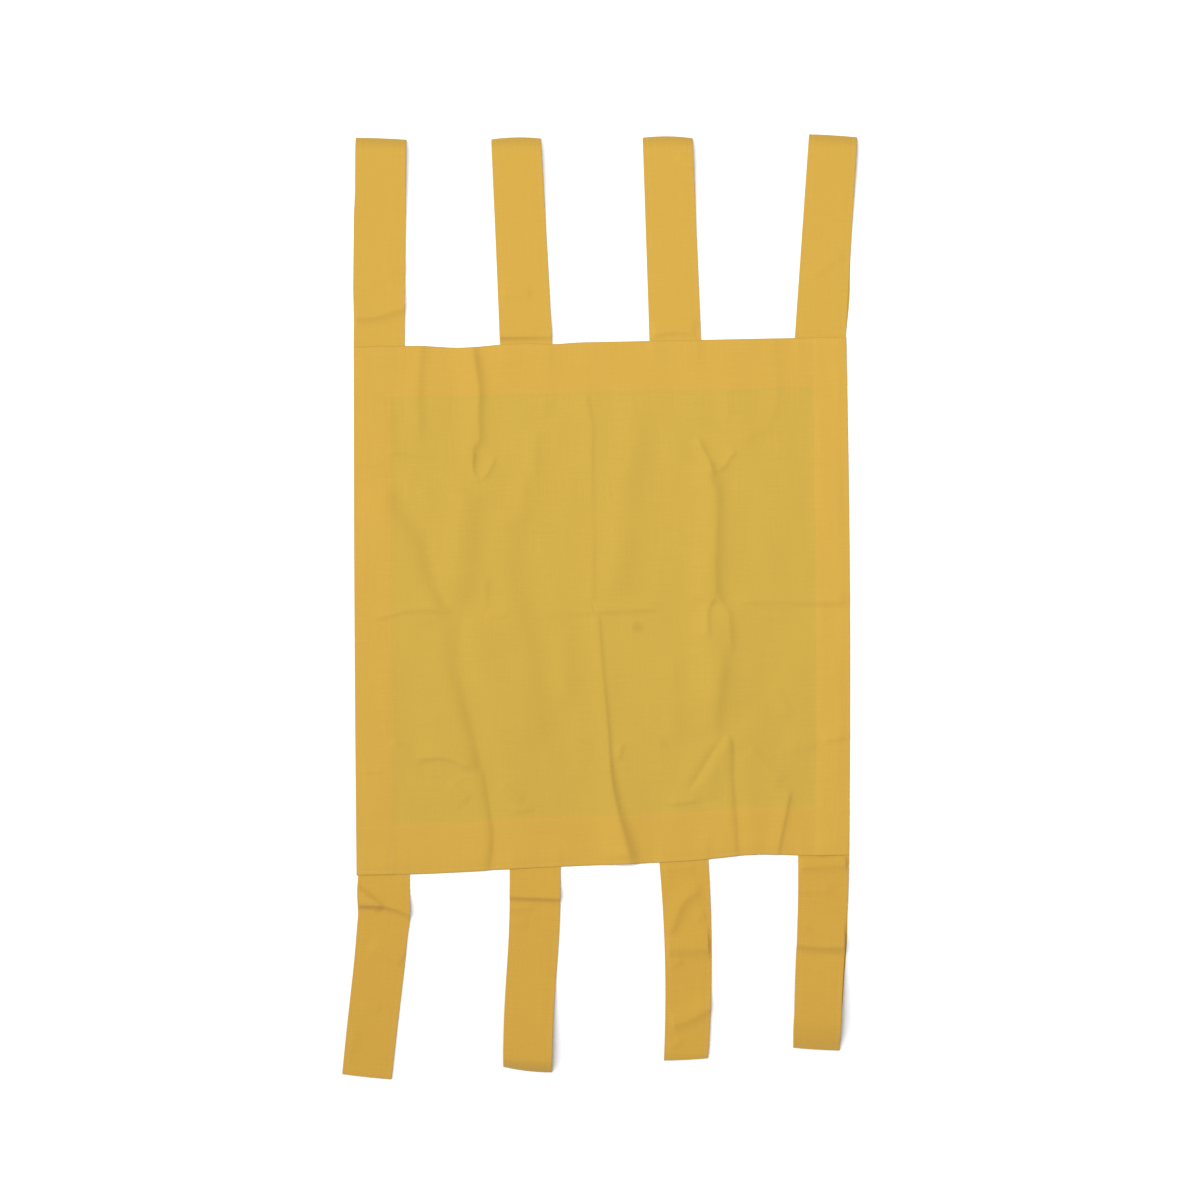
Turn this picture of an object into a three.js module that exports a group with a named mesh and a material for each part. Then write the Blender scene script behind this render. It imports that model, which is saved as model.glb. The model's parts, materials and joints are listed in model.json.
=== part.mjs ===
// A cotton panel with four doubled loops sewn into its top edge and four into its bottom edge.
// It lies face up on a flat surface at Z = 0, as it came to rest: X runs across the panel, Y from
// the bottom loops to the top loops, and Z up. All dimensions are in millimetres.
import * as THREE from 'three';

// Cloth
const PLY = 0.4; // one ply of the cloth
const AIR = 0.3; // between plies that lie on each other
const LEG = 2 * PLY; // a loop's strip is folded to two plies

// Panel, as sewn
const PANEL_WIDTH = 492;
const PANEL_HEIGHT = 523;
const LEFT_HEM = 37;
const RIGHT_HEM = 34;
const FACING_DEPTH = 50; // the separate strip sewn behind each edge that carries loops
const FACING_SETBACK = 0.8; // the facing's ends stay this far inside the panel's sides
const HALF_WIDTH = PANEL_WIDTH / 2;
const HALF_HEIGHT = PANEL_HEIGHT / 2;

// Panel, as it lies: slipped out of square and bowed at its sides
const CENTRE_X = 2.4;
const CENTRE_Y = 2;
const RIGHT_SIDE_RISE = 7.5; // the middle of the right side lies this much further up
const TOP_LEAN = -1.4; // the middle of the top edge lies this much further right
const SIDE_TAPER = -2.5; // a quarter of the difference between the right and left sides' lengths
const MEAN_BOW = 0.75; // the middle of the panel bows this far right
const BOW_SPREAD = 1.55; // and its right side this much further than that

// Loops
const LOOP_WIDTH = 51;
const TAIL_DEPTH = 12; // how far a loop's ends reach into the seam
const SEAM_CLEARANCE = 0.6; // between a loop and its tail, where it folds
const ROOT_TURN = 22; // length over which a loop turns from the seam's line to its own
const MOUTH_RADIUS = 4; // outside of the round fold at a loop's end
const MOUTH_TAPER = 34; // length over which the open end closes to flat
// edgeX is the middle of a loop along the panel's edge. drift and sway are how far right its end and
// its middle lie, and backShift how far right its lower leg lies at the seam.
const TOP_LOOPS = [
  { edgeX: -220.8, reach: 208, drift: 2, sway: 0, backShift: -2.4 },
  { edgeX: -73.8, reach: 206, drift: -10.1, sway: 0, backShift: 0 },
  { edgeX: 75.2, reach: 204, drift: -7.7, sway: 0, backShift: 0 },
  { edgeX: 220.2, reach: 202, drift: 12.7, sway: 0, backShift: 2 },
];
const BOTTOM_LOOPS = [
  { edgeX: -218.9, reach: 203, drift: -17, sway: 2.7, backShift: 0 },
  { edgeX: -67.7, reach: 203, drift: -7.4, sway: 0.3, backShift: 0 },
  { edgeX: 81, reach: 198, drift: 2.7, sway: 3.4, backShift: 0 },
  { edgeX: 220.7, reach: 193, drift: -7.3, sway: 0.9, backShift: 2 },
];

// Sewing thread
const THREAD_WIDTH = 0.5;
const THREAD_HEIGHT = 0.3;
const THREAD_LIFT = 0.15; // above the cloth
const EDGE_ROW_INSET = 5.5; // rows along the panel's sides
const SEAM_ROW_INSET = 3.5; // rows along the edges that carry loops
const HEM_ROW_INSET = 3; // rows that hold down a hem's or facing's inner edge
const LOOP_ROW_INSET = 4.5;

// Heights of the layers, from the surface that the cloth lies on
const TAIL_FLOOR = PLY + AIR;
const SEAM_STACK = TAIL_FLOOR + 2 * LEG + AIR; // the panel's underside over a seam
const PANEL_TOP = 2 * PLY + AIR; // the panel's face above its own hem
const RAMP_START = HALF_HEIGHT - FACING_DEPTH - 3; // where the panel starts down to the surface
const RAMP_FOOT = RAMP_START - 20;
const PANEL_SPANS = 8; // straight spans between the two ramps
const LEG_SPANS = 9; // straight spans along a loop's leg
const MOUTH_SPANS = 8;
const ARC_SPANS = 8;

const cloth = new THREE.MeshStandardMaterial({ color: '#d8af4e', roughness: 0.9, metalness: 0 });
const thread = new THREE.MeshStandardMaterial({ color: '#e2b755', roughness: 0.75, metalness: 0 });

const object = new THREE.Group();

function addMesh(name, geometry, material) {
  geometry.computeVertexNormals();
  const mesh = new THREE.Mesh(geometry, material.clone());
  mesh.name = name;
  object.add(mesh);
}

function moveVertices(geometry, place) {
  const position = geometry.attributes.position;
  for (let i = 0; i < position.count; i += 1) {
    position.setXYZ(i, ...place(position.getX(i), position.getY(i), position.getZ(i)));
  }
}

// Where a point of the flat panel lies
function layX(x, y) {
  const across = x / HALF_WIDTH;
  const up = y / HALF_HEIGHT;
  return CENTRE_X + x + TOP_LEAN * up + (MEAN_BOW + BOW_SPREAD * across) * (1 - up * up);
}

function layY(x, y) {
  const across = x / HALF_WIDTH;
  const up = y / HALF_HEIGHT;
  return CENTRE_Y + y + RIGHT_SIDE_RISE * across + SIDE_TAPER * across * up;
}

// The panel stands on its facings and loop tails at both ends and on its side hems between them
function panelRise(y) {
  const climbed = (Math.abs(y) - RAMP_FOOT) / (RAMP_START - RAMP_FOOT);
  return SEAM_STACK * Math.min(1, Math.max(0, climbed));
}

function layOnPanel(x, y, z) {
  return [layX(x, y), layY(x, y), z + panelRise(y)];
}

function layFlat(x, y, z) {
  return [layX(x, y), layY(x, y), z];
}

// Stations from the top of the panel to its bottom, with one at each end of both ramps
function panelStations(limit) {
  const stations = [];
  for (let i = 0; i <= PANEL_SPANS; i += 1) {
    stations.push(RAMP_FOOT * (1 - (2 * i) / PANEL_SPANS));
  }
  stations.unshift(limit, RAMP_START);
  stations.push(-RAMP_START, -limit);
  return stations;
}

// A section in X and Z carried along Y through stations that go down in Y
function carryAlongY(section, stations) {
  const steps = stations.length - 1;
  const options = { depth: steps, steps, bevelEnabled: false, curveSegments: 5 };
  const geometry = new THREE.ExtrudeGeometry(section, options);
  moveVertices(geometry, (x, z, step) => [x, stations[Math.round(step)], z]);
  return geometry;
}

function rectangle(left, right, low, high) {
  const shape = new THREE.Shape();
  shape.moveTo(left, low);
  shape.lineTo(right, low);
  shape.lineTo(right, high);
  shape.lineTo(left, high);
  shape.closePath();
  return shape;
}

// One sheet with both sides turned under and inwards
function panelSection() {
  const outer = PANEL_TOP / 2;
  const inner = AIR / 2;
  const left = -HALF_WIDTH + outer;
  const right = HALF_WIDTH - outer;
  const shape = new THREE.Shape();
  shape.moveTo(-HALF_WIDTH + LEFT_HEM, 0);
  shape.lineTo(left, 0);
  shape.absarc(left, outer, outer, -Math.PI / 2, Math.PI / 2, true);
  shape.lineTo(right, PANEL_TOP);
  shape.absarc(right, outer, outer, Math.PI / 2, -Math.PI / 2, true);
  shape.lineTo(HALF_WIDTH - RIGHT_HEM, 0);
  shape.lineTo(HALF_WIDTH - RIGHT_HEM, PLY);
  shape.lineTo(right, PLY);
  shape.absarc(right, outer, inner, -Math.PI / 2, Math.PI / 2, false);
  shape.lineTo(left, PLY + AIR);
  shape.absarc(left, outer, inner, Math.PI / 2, -Math.PI / 2, false);
  shape.lineTo(-HALF_WIDTH + LEFT_HEM, PLY);
  shape.closePath();
  return shape;
}

function addPanel() {
  const geometry = carryAlongY(panelSection(), panelStations(HALF_HEIGHT));
  moveVertices(geometry, layOnPanel);
  addMesh('panel_cloth', geometry, cloth);
}

function addFacing(name, side) {
  const half = HALF_WIDTH - FACING_SETBACK;
  const seam = HALF_HEIGHT - SEAM_CLEARANCE;
  const edges = [side * seam, side * (HALF_HEIGHT - FACING_DEPTH)].sort((a, b) => b - a);
  const geometry = carryAlongY(rectangle(-half, half, 0, PLY), edges);
  moveVertices(geometry, layFlat);
  addMesh(name, geometry, cloth);
}

// A row of thread along Y, on the panel's face
function addSideRow(name, x) {
  const low = PANEL_TOP + THREAD_LIFT;
  const section = rectangle(x - THREAD_WIDTH / 2, x + THREAD_WIDTH / 2, low, low + THREAD_HEIGHT);
  const end = HALF_HEIGHT - FACING_DEPTH + HEM_ROW_INSET - 1;
  const geometry = carryAlongY(section, panelStations(end));
  moveVertices(geometry, layOnPanel);
  addMesh(name, geometry, thread);
}

// A row of thread along X, on the panel's face
function addCrossRow(name, y) {
  const low = PANEL_TOP + THREAD_LIFT;
  const half = HALF_WIDTH - FACING_SETBACK;
  const section = rectangle(-half, half, low, low + THREAD_HEIGHT);
  const geometry = carryAlongY(section, [y + THREAD_WIDTH / 2, y - THREAD_WIDTH / 2]);
  moveVertices(geometry, layOnPanel);
  addMesh(name, geometry, thread);
}

function mouthHeight(fromFold) {
  const closed = LEG + AIR + PLY;
  const open = 2 * MOUTH_RADIUS - PLY;
  const share = Math.min(1, fromFold / MOUTH_TAPER);
  return closed + ((open - closed) * (1 + Math.cos(Math.PI * share))) / 2;
}

// Stations along a loop's leg, from the seam out to the round fold at its end
function loopStations(reach) {
  const closed = reach - MOUTH_RADIUS - MOUTH_TAPER;
  const stations = [];
  for (let i = 0; i <= LEG_SPANS; i += 1) {
    stations.push(SEAM_CLEARANCE + ((closed - SEAM_CLEARANCE) * i) / LEG_SPANS);
  }
  for (let i = 1; i <= MOUTH_SPANS; i += 1) {
    stations.push(closed + (MOUTH_TAPER * i) / MOUTH_SPANS);
  }
  return stations;
}

// A loop seen from its side: a flat lower leg, a round fold, and an upper leg that comes back down
function loopSection(reach) {
  const fold = reach - MOUTH_RADIUS;
  const stationsOut = loopStations(reach);
  const stationsBack = [...stationsOut].reverse();
  const arc = (radius, share) => {
    const angle = Math.PI * (share - 0.5);
    return new THREE.Vector2(
      fold + radius * Math.cos(angle),
      MOUTH_RADIUS + radius * Math.sin(angle),
    );
  };
  const points = stationsOut.map((s) => new THREE.Vector2(s, 0));
  for (let i = 1; i < ARC_SPANS; i += 1) {
    points.push(arc(MOUTH_RADIUS, i / ARC_SPANS));
  }
  points.push(...stationsBack.map((s) => new THREE.Vector2(s, mouthHeight(fold - s) + PLY)));
  points.push(...stationsOut.map((s) => new THREE.Vector2(s, mouthHeight(fold - s) - PLY)));
  for (let i = ARC_SPANS - 1; i > 0; i -= 1) {
    points.push(arc(MOUTH_RADIUS - LEG, i / ARC_SPANS));
  }
  points.push(...stationsBack.map((s) => new THREE.Vector2(s, LEG)));
  return new THREE.Shape(points);
}

// The line that the middle of a loop follows, from the seam outwards. side is 1 for the top edge
// and -1 for the bottom edge.
function loopPoint(loop, side, s) {
  const share = s / loop.reach;
  const edge = side * HALF_HEIGHT;
  return new THREE.Vector2(
    layX(loop.edgeX, edge) + loop.drift * share + 4 * loop.sway * share * (1 - share),
    layY(loop.edgeX, edge) + side * s,
  );
}

// Square to a loop's own line, but along the panel's edge where it leaves the seam
function acrossLoop(loop, side, s) {
  const edge = side * HALF_HEIGHT;
  const ahead = loopPoint(loop, side, s + 1).sub(loopPoint(loop, side, s)).normalize();
  const along = new THREE.Vector2(
    layX(loop.edgeX + side, edge) - layX(loop.edgeX, edge),
    layY(loop.edgeX + side, edge) - layY(loop.edgeX, edge),
  );
  const square = new THREE.Vector2(ahead.y, -ahead.x);
  return along.normalize().lerp(square, Math.min(1, s / ROOT_TURN));
}

function placeOnLoop(loop, side, s, across, z) {
  const middle = loopPoint(loop, side, s);
  const direction = acrossLoop(loop, side, s);
  const isBackLeg = z <= LEG + AIR / 2 && s < loop.reach - MOUTH_RADIUS;
  const slip = isBackLeg ? loop.backShift * (1 - s / loop.reach) : 0;
  return [middle.x + across * direction.x + slip, middle.y + across * direction.y, z];
}

// A section in s and Z carried across a loop's width between two edges
function carryAcross(section, from, to) {
  const options = { depth: to - from, steps: 1, bevelEnabled: false };
  const geometry = new THREE.ExtrudeGeometry(section, options);
  geometry.translate(0, 0, from);
  return geometry;
}

function addLoop(name, loop, side) {
  const half = LOOP_WIDTH / 2;
  const geometry = carryAcross(loopSection(loop.reach), -half, half);
  moveVertices(geometry, (s, z, across) => placeOnLoop(loop, side, s, across, z));
  addMesh(name, geometry, cloth);
}

// The ends of a loop's strip, caught between the panel and the facing
function addTail(name, loop, side) {
  const half = LOOP_WIDTH / 2;
  const section = rectangle(loop.edgeX - half, loop.edgeX + half, TAIL_FLOOR, TAIL_FLOOR + 2 * LEG);
  const outer = HALF_HEIGHT - SEAM_CLEARANCE;
  const inner = HALF_HEIGHT - TAIL_DEPTH;
  const edges = [side * outer, side * inner].sort((a, b) => b - a);
  const geometry = carryAlongY(section, edges);
  moveVertices(geometry, layFlat);
  addMesh(name, geometry, cloth);
}

// A row of thread along a loop's upper leg, from the seam to the crown of its round fold
function addLoopRow(name, loop, side, offset) {
  const fold = loop.reach - MOUTH_RADIUS;
  const stations = loopStations(loop.reach);
  const low = (s) => mouthHeight(fold - s) + PLY + THREAD_LIFT;
  const points = stations.map((s) => new THREE.Vector2(s, low(s)));
  stations.reverse();
  points.push(...stations.map((s) => new THREE.Vector2(s, low(s) + THREAD_HEIGHT)));
  const section = new THREE.Shape(points);
  const geometry = carryAcross(section, offset - THREAD_WIDTH / 2, offset + THREAD_WIDTH / 2);
  moveVertices(geometry, (s, z, across) => placeOnLoop(loop, side, s, across, z));
  addMesh(name, geometry, thread);
}

function addLoops(edgeName, loops, side) {
  const rowOffset = LOOP_WIDTH / 2 - LOOP_ROW_INSET;
  loops.forEach((loop, index) => {
    const name = `${edgeName}_loop_${index + 1}`;
    addLoop(name, loop, side);
    addTail(`${name}_tail`, loop, side);
    addLoopRow(`${name}_left_stitching`, loop, side, -side * rowOffset);
    addLoopRow(`${name}_right_stitching`, loop, side, side * rowOffset);
  });
}

addPanel();
addFacing('top_facing', 1);
addFacing('bottom_facing', -1);
addLoops('top', TOP_LOOPS, 1);
addLoops('bottom', BOTTOM_LOOPS, -1);
addSideRow('left_hem_stitching', -HALF_WIDTH + LEFT_HEM - HEM_ROW_INSET);
addSideRow('right_hem_stitching', HALF_WIDTH - RIGHT_HEM + HEM_ROW_INSET);
addSideRow('left_edge_stitching', -HALF_WIDTH + EDGE_ROW_INSET);
addSideRow('right_edge_stitching', HALF_WIDTH - EDGE_ROW_INSET);
addCrossRow('top_facing_stitching', HALF_HEIGHT - FACING_DEPTH + HEM_ROW_INSET);
addCrossRow('bottom_facing_stitching', -HALF_HEIGHT + FACING_DEPTH - HEM_ROW_INSET);
addCrossRow('top_edge_stitching', HALF_HEIGHT - SEAM_ROW_INSET);
addCrossRow('bottom_edge_stitching', -HALF_HEIGHT + SEAM_ROW_INSET);

export default object;
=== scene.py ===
"""A yellow cotton panel with doubled loops on two of its edges, lying face up on a pale floor.

Lengths are in metres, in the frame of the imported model: X runs across the panel, Y from the bottom
loops to the top loops, and Z up from the surface that the cloth lies on. Flat coordinates are those
of the panel as it was sewn, before it was laid down, from its middle.
"""

import json
import math

import bpy
import numpy as np
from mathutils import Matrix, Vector


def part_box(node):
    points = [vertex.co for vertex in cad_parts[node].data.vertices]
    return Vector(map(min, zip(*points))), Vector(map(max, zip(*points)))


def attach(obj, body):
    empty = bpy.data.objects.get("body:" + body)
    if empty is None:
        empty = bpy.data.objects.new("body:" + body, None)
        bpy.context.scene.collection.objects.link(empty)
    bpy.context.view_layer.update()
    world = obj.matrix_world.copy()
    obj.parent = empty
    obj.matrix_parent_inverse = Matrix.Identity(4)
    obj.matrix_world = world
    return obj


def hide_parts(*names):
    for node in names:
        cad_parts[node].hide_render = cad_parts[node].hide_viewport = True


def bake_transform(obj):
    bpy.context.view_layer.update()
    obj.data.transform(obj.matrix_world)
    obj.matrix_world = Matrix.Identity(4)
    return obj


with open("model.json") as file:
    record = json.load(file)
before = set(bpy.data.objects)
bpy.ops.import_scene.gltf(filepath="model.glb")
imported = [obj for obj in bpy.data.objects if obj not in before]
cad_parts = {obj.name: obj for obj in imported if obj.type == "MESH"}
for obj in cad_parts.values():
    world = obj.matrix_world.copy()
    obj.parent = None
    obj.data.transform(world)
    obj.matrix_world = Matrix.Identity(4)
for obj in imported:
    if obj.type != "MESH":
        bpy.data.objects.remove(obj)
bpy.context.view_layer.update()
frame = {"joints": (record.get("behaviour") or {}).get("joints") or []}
MM = 0.001

# ---------------------------------------------------------------- dimensions
# Panel, as sewn
HALF_WIDTH = 246 * MM
HALF_HEIGHT = 261.5 * MM
LEFT_HEM = 37 * MM
RIGHT_HEM = 34 * MM
FACING_DEPTH = 50 * MM
FACING_SETBACK = 0.8 * MM  # from the panel's sides
SEAM_CLEARANCE = 0.6 * MM  # from the edges that carry loops
TURN = 8 * MM  # the raw edge of each hem and facing is turned under by this much

# Panel, as it lies
CENTRE_X = 2.4 * MM
CENTRE_Y = 2 * MM
RIGHT_SIDE_RISE = 7.5 * MM
TOP_LEAN = -1.4 * MM
SIDE_TAPER = -2.5 * MM
MEAN_BOW = 0.75 * MM
BOW_SPREAD = 1.55 * MM
# Waves of the edges that carry loops, in millimetres: middle and width along the edge, how far up
TOP_EDGE_WAVES = [(-137, 30, -3.1), (-46, 16, -1.2)]
BOTTOM_EDGE_WAVES = [(152, 46, 4.1), (-170, 60, -1.7)]

# Cloth
FLOOR_GAP = 0.12 * MM
PLY = 0.32 * MM  # from the middle of one ply to the middle of the next
PLY_THICKNESS = 0.27 * MM
LEG = 0.7 * MM  # a loop's strip
TAIL_PLY = 0.4 * MM  # the same strip, pressed in the seam
LEG_GAP = 0.1 * MM
END_RADIUS = 0.9 * MM  # of the fold at a loop's end
LOOP_WIDTH = 51 * MM
TAIL_DEPTH = 12 * MM
SQUARING = 22 * MM  # of a loop's length, in which it turns from its seam to lie square to its line
KINK_PLACE, KINK_WIDTH = 0.19, 0.08  # in shares of a loop's length
DRAPE = 7 * MM  # how softly the cloth follows the edges of the plies below it

# Sewing
EDGE_ROW = 5.5 * MM
SEAM_ROW = 3.5 * MM
HEM_ROW = 3 * MM
LOOP_ROW = 4.5 * MM
STITCH_PITCH = 3 * MM
STITCH_LENGTH = 2.5 * MM
STITCH_WIDTH = 0.5 * MM
STITCH_ARCH = 0.22 * MM
PINCH_DEPTH = 0.06 * MM

# Mesh
ACROSS_STEP = 1.2 * MM
ALONG_STEP = 1.4 * MM
HEM_STEP = 3 * MM
LOOP_STEP = 1.1 * MM


# ---------------------------------------------------------------- curves and ramps
def smooth(value, start, end):
    """0 before start, 1 after end, and a smooth rise between them."""
    t = np.clip((value - start) / (end - start), 0, 1)
    return t * t * (3 - 2 * t)


def bump(value, middle, width):
    return np.exp(-(((value - middle) / width) ** 2))


def rounded_path(points, steps=6):
    """A smooth path through a few points."""
    p = np.array(points, float)
    if len(p) == 2:
        return p
    p = np.vstack([2 * p[0] - p[1], p, 2 * p[-1] - p[-2]])
    made = []
    for a, b, c, d in zip(p[:-3], p[1:-2], p[2:-1], p[3:]):
        for t in np.linspace(0, 1, steps, endpoint=False):
            made.append(
                0.5
                * (
                    2 * b
                    + (c - a) * t
                    + (2 * a - 5 * b + 4 * c - d) * t**2
                    + (3 * b - a - 3 * c + d) * t**3
                )
            )
    made.append(p[-2])
    return np.array(made)


# ---------------------------------------------------------------- the panel as it lies
def edge_wave(x, waves):
    return sum(rise * MM * bump(x, middle * MM, width * MM) for middle, width, rise in waves)


def lay(x, y):
    """Where points of the flat panel lie."""
    across, up = x / HALF_WIDTH, y / HALF_HEIGHT
    bow = (MEAN_BOW + BOW_SPREAD * across) * (1 - np.minimum(up * up, 1))
    laid_x = CENTRE_X + x + TOP_LEAN * up + bow
    laid_y = CENTRE_Y + y + RIGHT_SIDE_RISE * across + SIDE_TAPER * across * up
    laid_y = laid_y + edge_wave(x, TOP_EDGE_WAVES) * smooth(up, 0.55, 1)
    laid_y = laid_y + edge_wave(x, BOTTOM_EDGE_WAVES) * smooth(-up, 0.55, 1)
    return laid_x, laid_y


def crease(height, left, right, fade, *run):
    """A crease that runs up or to the right through the given points. Its height is that of a ridge,
    or of a hollow if it is below 0. The run follows the middle of its steeper side: the right side of
    a ridge, or the left side of a hollow. left and right are the widths of its two sides, and fade
    says how much of the run fades in and out. All are in millimetres. Height and widths may each be
    a list of values that are evenly spaced along the run."""
    return dict(height=height, left=left, right=right, fade=fade, run=run)


# Places are flat coordinates in millimetres
PANEL_CREASES = [
    # The ridge from the top edge down beside the second loop, with a hook at its end
    crease((2.4, 3.0, 3.9, 4.9), 14, (4.2, 5.4, 6.2, 6.6), (36, 0), (-119, 124), (-126, 137),
           (-125, 157), (-119, 167), (-119.5, 192), (-118.5, 215), (-121, 240), (-125, 264)),
    crease(1.1, 5, 2.6, (8, 8), (-118, 122), (-126, 137), (-125, 157)),
    crease(1.3, 5, 3, (8, 9), (-121, 124), (-113, 131), (-107, 142), (-104, 152)),
    crease(2.4, 13, 6.4, (34, 0), (-176, 155), (-178, 191), (-179, 211), (-178, 233), (-176, 264)),
    # Soft folds down the left half
    crease((-3.2, -4.0, -4.4, -4.4), (6.5, 11, 14, 14), (11, 14, 16, 16), (24, 22), (-152, -14),
           (-162, 7), (-172, 30), (-177, 52), (-185, 71), (-194, 86), (-204, 104), (-207, 132)),
    crease((-2.2, -2.4, -3.0, -4.2, -4.4, -4.2), (4, 4.6, 7, 10, 15, 18), (12, 12, 16, 20, 12, 11),
           (0, 34), (-115, -264), (-112, -243), (-111, -225), (-113, -212), (-116, -193),
           (-120, -169), (-124, -158), (-131, -127), (-137, -104), (-143, -80), (-150, -56),
           (-152, -26), (-150, 8)),
    crease(3.2, 17, 19, (30, 16), (-129, 4), (-128, 50), (-126, 90), (-124, 122)),
    crease(1.1, 7, 4, (10, 10), (-114, -6), (-112, 34)),
    crease(2.4, 20, 17, (44, 34), (-68, -158), (-66, -90), (-72, -30), (-85, 20), (-88, 60), (-86, 112)),
    crease(1.1, 12, 11, (26, 26), (-30, -110), (-32, -16)),
    crease(0.9, 9, 5, (12, 12), (-64, 122), (-61, 178)),
    crease(0.9, 10, 8, (14, 14), (-75, 78), (-73, 132)),
    crease(0.7, 7, 5, (9, 9), (-54, 182), (-52, 212)),
    crease(0.6, 10, 8, (16, 16), (-205, 146), (-205, 206)),
    crease(1.2, 11, 9, (14, 14), (-188, 100), (-184, 146)),
    # The pressed fold down the middle, which opens into a ridge at the bottom edge
    crease((0.9, 1.0, 0.4, 0.9, 1.0, 1.0), 10, 2.6, (10, 10), (-8, -3), (-7.5, 60), (-8, 110),
           (-8.5, 150), (-8, 180), (-14, 212)),
    crease((6.5, 4.9, 3.0, 1.8, 1.5, 1.3), (18, 14, 10, 9, 9, 8), (9, 6, 3.4, 3, 2.8, 2.6), (0, 10),
           (32, -264), (30.8, -256), (26.4, -240), (22.8, -227), (17.7, -209), (13.5, -191),
           (10.5, -175), (9.2, -165), (8.5, -157), (6.6, -127), (3.6, -94), (1.7, -71), (-1, -39),
           (-3, -8)),
    crease(1.2, 6, 3.4, (7, 7), (17, -160), (21, -138)),
    # The forked fold down the right half
    crease(3.6, 17, 8, (16, 14), (117, -6), (115, 27), (116, 54), (117, 81), (117, 108), (113, 124),
           (113, 142)),
    crease(1.9, 6, 3.6, (15, 12), (116, 124), (104, 151), (96, 167)),
    crease(1.2, 5, 3, (8, 8), (113, 128), (123, 133), (129, 141), (137, 151)),
    crease(0.8, 12, 5.5, (18, 0), (141, 149), (150, 161), (168, 172), (178, 195), (179, 225),
           (177, 264)),
    crease(0.8, 9, 5, (12, 12), (129, 174), (129, 216)),
    crease(1.9, 18, 16, (26, 26), (19, -4), (22, 30), (29, 57), (35, 84), (35, 130), (42, 170),
           (42, 210)),
    crease(1.5, 7, 3, (14, 8), (108, -42), (106, -13), (114, 5)),
    crease(1.3, 8, 4.2, (22, 9), (131, -60), (129, -30), (127, -12), (121, -2), (116, 9)),
    crease(3.0, 22, 22, (36, 30), (123, -128), (124, -60), (122, -2)),
    crease((2.4, 2.8, 2.0, 1.2), 14, 9, (16, 34), (116, -138), (116, -118), (118, -95), (122, -72),
           (127, -42)),
    crease(-2.5, 6.5, 4.4, (18, 14), (80, -192), (94, -172), (105, -154), (116, -138), (122, -127)),
    crease(-1.9, 3.8, 10, (0, 16), (136, -264), (134, -251), (133, -233), (131, -206), (129, -179),
           (129, -154), (127, -141), (121, -128)),
    crease(1.5, 14, 11, (26, 26), (75, -152), (75, -46)),
    crease(1.2, 9, 12, (12, 12), (111, -206), (120, -160)),
    # The pressed fold across the middle
    crease((1.5, 1.3, 2.2), 11, 3.4, (22, 0), (128, -4), (188, -6), (246, -8)),
    crease((0.4, 0.7, 1.8, 1.6, 1.2), 8, 3, (14, 24), (-66, -9), (-9, -11), (0, -9), (66, -9)),
    crease(1.3, 8, 2.8, (16, 12), (-233, -10), (-212, -7), (-195, -3), (-173, -2), (-146, -7)),
    crease(0.9, 6, 3, (9, 9), (-118, -10), (-90, -11)),
    # Short creases
    crease(1.3, 6, 3.2, (10, 18), (-214, 156), (-190, 153), (-162, 147)),
    crease(0.6, 4, 1.8, (0, 9), (-246, 144), (-215, 143)),
    crease(1.7, 9, 2.8, (0, 12), (176, -264), (178, -249), (189, -192)),
    crease(1.6, 6, 3, (10, 14), (63, -204), (101, -202)),
    crease(1.0, 9, 5, (11, 11), (185, -183), (165, -168), (148, -145)),
    crease(1.1, 11, 6, (14, 14), (178, -153), (218, -154)),
    crease(1.4, 9, 3.4, (12, 0), (214, -147), (246, -144)),
    crease(0.9, 10, 5, (12, 12), (187, -126), (183, -103), (168, -84)),
    crease(1.4, 9, 4.4, (10, 9), (-174, -149), (-197, -136), (-208, -124)),
    crease(2.1, 10, 3.7, (12, 16), (-186, -152), (-166, -149), (-148, -153), (-136, -159), (-124, -163)),
    crease(1.6, 9, 6, (9, 9), (-130, -192), (-152, -168)),
    crease(1.0, 7, 4, (9, 9), (-76, -194), (-103, -172)),
    crease(1.2, 5, 3.4, (9, 14), (-95, -205), (-64, -205)),
    crease(0.8, 5, 2.2, (7, 9), (3, -156), (-33, -129)),
    crease(0.8, 5, 2.2, (6, 7), (8, -168), (-14, -161)),
    crease(0.7, 5, 1.9, (0, 9), (-246, -161), (-215, -161)),
]

# Small round marks of wear on the cloth: middle and radius, in millimetres, and tone
MARKS = [(35, -25, 6.5, 0.9), (61, -142, 5, 0.955)]


def spaced(values, share):
    """The value at a share of a run, from one value or a list of evenly spaced ones."""
    values = np.atleast_1d(values)
    return MM * np.interp(share, np.linspace(0, 1, len(values)), values)


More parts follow.
